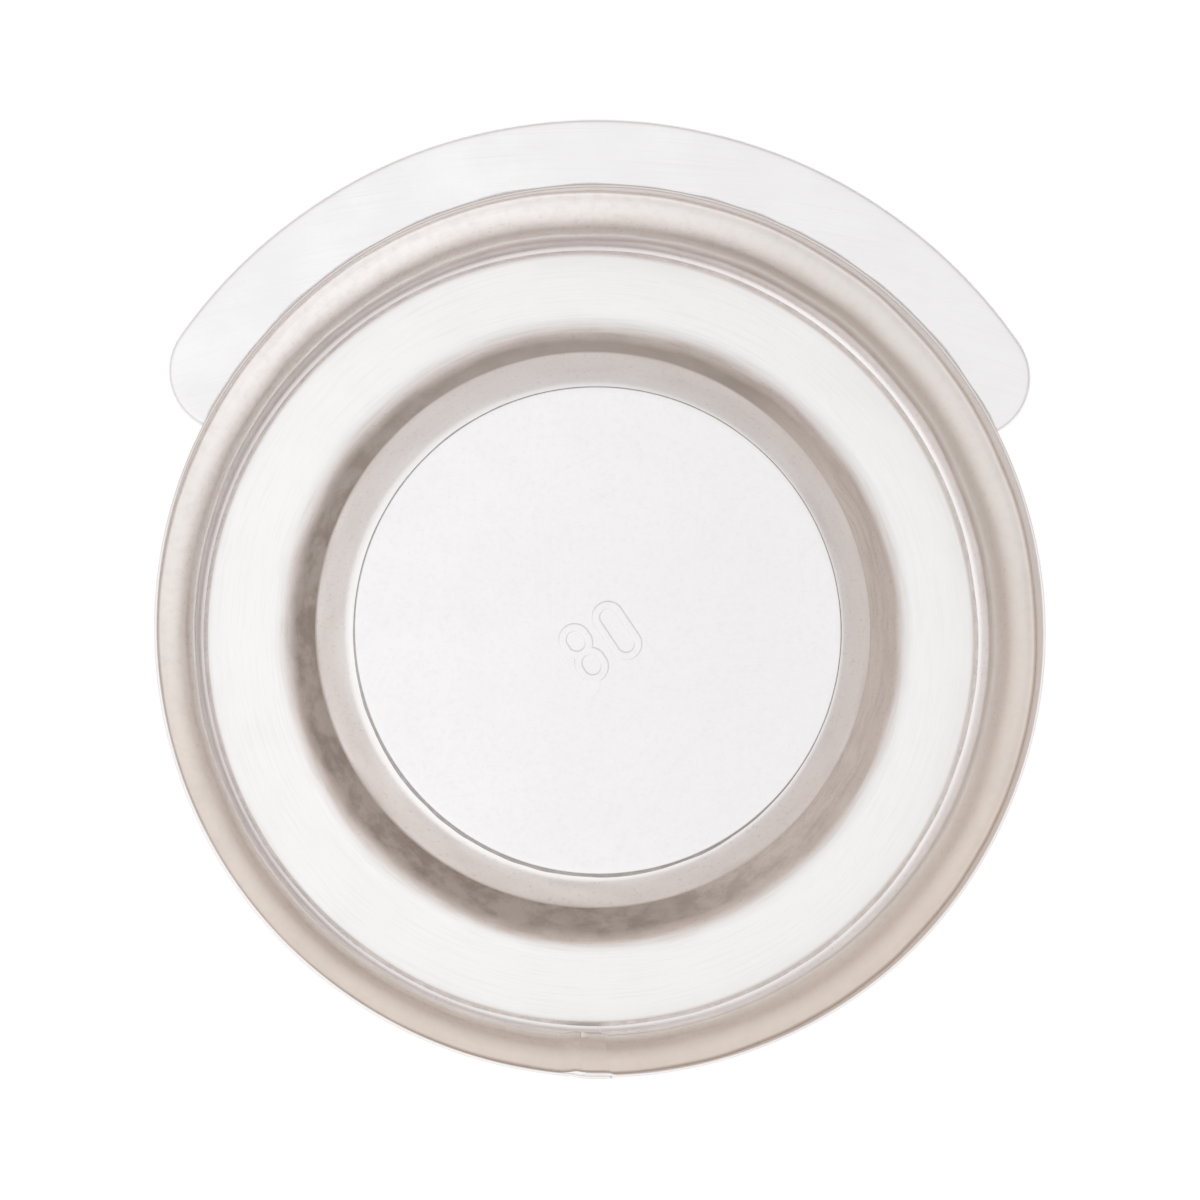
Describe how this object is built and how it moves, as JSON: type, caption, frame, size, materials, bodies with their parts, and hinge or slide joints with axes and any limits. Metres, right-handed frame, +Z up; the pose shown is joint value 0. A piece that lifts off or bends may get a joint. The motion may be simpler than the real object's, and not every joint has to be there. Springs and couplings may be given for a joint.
{
  "type": "pill counting tray",
  "caption": "Round soldered sheet-metal tray: a raised flat counting plate in the middle, a ring-shaped pill trough round it, and a crescent grip ledge at the rim.",
  "frame": {"origin": "centre of the ring foot, in the plane that the tray rests on", "axes": "+Z up from the foot to the rim, along the dish's axis; +Y towards the middle of the crescent ledge; the lapped seam of the wall is on the -Y side"},
  "size_m": [0.15, 0.1615, 0.0205],
  "materials": {
    "tinplate": "satin tinned steel, spun and hand worked, faint rings and stains",
    "plate": "satin tinned steel with fine scratches in every direction",
    "ledge": "satin tinned steel, brushed from end to end",
    "solder": "soft solder, dull grey with bright specks"
  },
  "bodies": {
    "root": {"outer_wall": "tinplate", "wall_seam_solder": "solder", "trough_pan": "tinplate", "floor_seam_solder": "solder", "centre_shoulder": "tinplate", "shoulder_solder": "solder", "counting_plate": "plate", "plate_solder": "solder", "ledge_plate": "ledge", "ledge_top_solder": "solder", "ledge_under_solder": "solder"}
  },
  "joints": []
}
